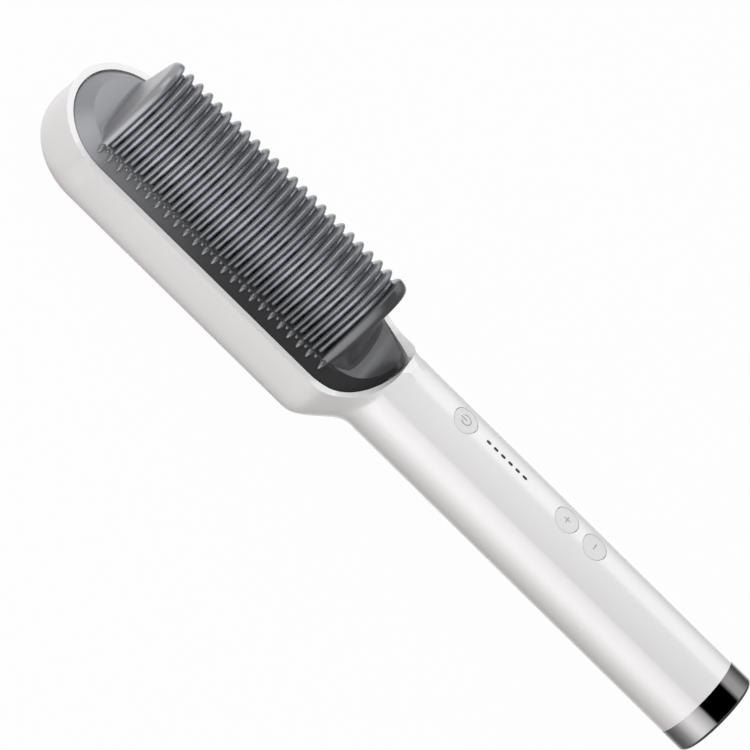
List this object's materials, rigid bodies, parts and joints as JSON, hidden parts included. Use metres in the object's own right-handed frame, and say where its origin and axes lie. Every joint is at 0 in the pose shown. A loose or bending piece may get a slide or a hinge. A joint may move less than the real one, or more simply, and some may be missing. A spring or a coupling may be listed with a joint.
{
  "type": "heated styling brush",
  "caption": "Cordless heated straightening brush: round white handle with buttons, long head with heated fins between arched guard ribs, chrome end cap.",
  "frame": {"origin": "centre of the charging port's mouth, on the flat end face of the cap and the handle's axis", "axes": "+X along the handle, out of the cap's end face; +Z out of the comb and the buttons; +Y completes a right-handed frame"},
  "size_m": [0.277, 0.0458, 0.0526],
  "materials": {
    "shell_white": "polished",
    "button_grey": "satin",
    "comb_grey": "satin",
    "coated_fin": "coated, semi-gloss",
    "black_chrome": "polished",
    "smoked_window": "polished",
    "heater_ceramic": "matte",
    "mica": "satin",
    "steel": "satin",
    "tray_plastic": "matte",
    "board_green": "gloss",
    "black_plastic": "matte",
    "plunger_plastic": "matte",
    "lead_red": "satin",
    "lead_white": "satin",
    "seal_rubber": "matte",
    "cell_wrap": "satin wrap",
    "light_lens": "gloss"
  },
  "bodies": {
    "brush": {"housing": "shell_white", "comb_cover": "comb_grey", "heating_fins": "coated_fin", "ceramic_heater": "heater_ceramic", "insulating_sheet": "mica", "heater_clamp": "steel", "clamp_screws": "steel", "insulator_tray": "tray_plastic", "cover_screws": "steel", "temperature_sensor": "black_plastic", "thermal_fuse": "steel", "heater_leads": "lead_red", "sensor_leads": "lead_white", "wire_grommet": "seal_rubber", "chassis": "tray_plastic", "battery_cell": "cell_wrap", "battery_tabs": "steel", "control_board": "board_green", "board_screws": "steel", "controller_chip": "black_plastic", "power_transistors": "black_plastic", "boost_coil": "black_plastic", "heater_connector": "plunger_plastic", "power_switch": "black_plastic", "plus_switch": "black_plastic", "minus_switch": "black_plastic", "indicator_lights": "light_lens", "indicator_window": "smoked_window", "charging_board": "board_green", "charging_socket": "steel", "socket_tongue": "black_plastic", "charging_leads": "lead_red", "end_cap": "black_chrome", "cap_seal": "seal_rubber", "end_screws": "steel"},
    "power_key": {"power_button": "button_grey", "power_plunger": "plunger_plastic"},
    "plus_key": {"plus_button": "button_grey", "plus_plunger": "plunger_plastic"},
    "minus_key": {"minus_button": "button_grey", "minus_plunger": "plunger_plastic"}
  },
  "joints": [
    {"name": "power_press", "type": "slide", "parent": "brush", "child": "power_key", "axis": [0, 0, -1], "range_m": [0, 0.0005], "stiffness_N_per_m": 1500, "springref_m": -0.0003},
    {"name": "plus_press", "type": "slide", "parent": "brush", "child": "plus_key", "axis": [0, 0, -1], "range_m": [0, 0.0005], "stiffness_N_per_m": 1500, "springref_m": -0.0003},
    {"name": "minus_press", "type": "slide", "parent": "brush", "child": "minus_key", "axis": [0, 0, -1], "range_m": [0, 0.0005], "stiffness_N_per_m": 1500, "springref_m": -0.0003}
  ]
}
